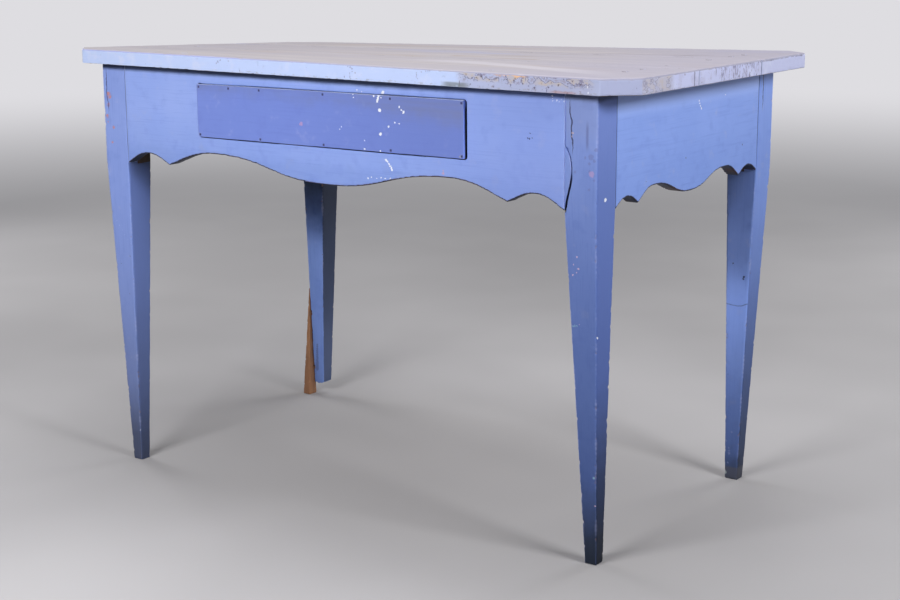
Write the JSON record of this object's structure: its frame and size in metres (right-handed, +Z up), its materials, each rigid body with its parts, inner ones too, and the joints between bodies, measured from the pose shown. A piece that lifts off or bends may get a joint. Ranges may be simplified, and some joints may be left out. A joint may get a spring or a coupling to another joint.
{
  "type": "kitchen table with drawer",
  "caption": "Painted farmhouse kitchen table with tapered square legs, scalloped aprons, a boarded top with clipped corners and a wide sliding drawer.",
  "frame": {"origin": "on the floor under the middle of the top", "axes": "+X along the table to the right as seen from the drawer's side, +Y to the back, +Z up"},
  "size_m": [1.142, 0.65, 0.76],
  "materials": {
    "top_paint": "worn grey-lilac paint, lengthwise streaks, chipped edges",
    "frame_paint": "old periwinkle blue brush paint, satin, scuffed",
    "facing_paint": "darker blue paint, weathered brown-grey in places",
    "bare_wood": "unpainted softwood, darkened with age",
    "splint_wood": "unpainted brown stick, hand cut",
    "nail_iron": "dark rusted nail heads"
  },
  "bodies": {
    "frame": {"top_board_front": "top_paint", "top_board_middle": "top_paint", "top_board_rear": "top_paint", "top_nails": "nail_iron", "front_apron": "frame_paint", "back_apron": "frame_paint", "left_apron": "frame_paint", "right_apron": "frame_paint", "front_left_leg": "frame_paint", "front_right_leg": "frame_paint", "front_right_leg_splinter": "frame_paint", "back_right_leg": "frame_paint", "back_left_leg": "frame_paint", "back_left_leg_splint": "splint_wood", "splint_nails": "nail_iron", "frame_pegs": "bare_wood", "glue_blocks": "bare_wood", "left_runner": "bare_wood", "right_runner": "bare_wood", "left_guide": "bare_wood", "right_guide": "bare_wood", "left_kicker": "bare_wood", "right_kicker": "bare_wood", "drawer_stops": "bare_wood"},
    "drawer": {"drawer_front": "frame_paint", "drawer_facing": "facing_paint", "facing_nails": "nail_iron", "drawer_left_side": "bare_wood", "drawer_right_side": "bare_wood", "drawer_back": "bare_wood", "drawer_bottom_front": "bare_wood", "drawer_bottom_rear": "bare_wood", "bottom_nails": "nail_iron"}
  },
  "joints": [
    {"name": "drawer_slide", "type": "slide", "parent": "frame", "child": "drawer", "axis": [0, -1, 0], "range_m": [0, 0.4]}
  ]
}
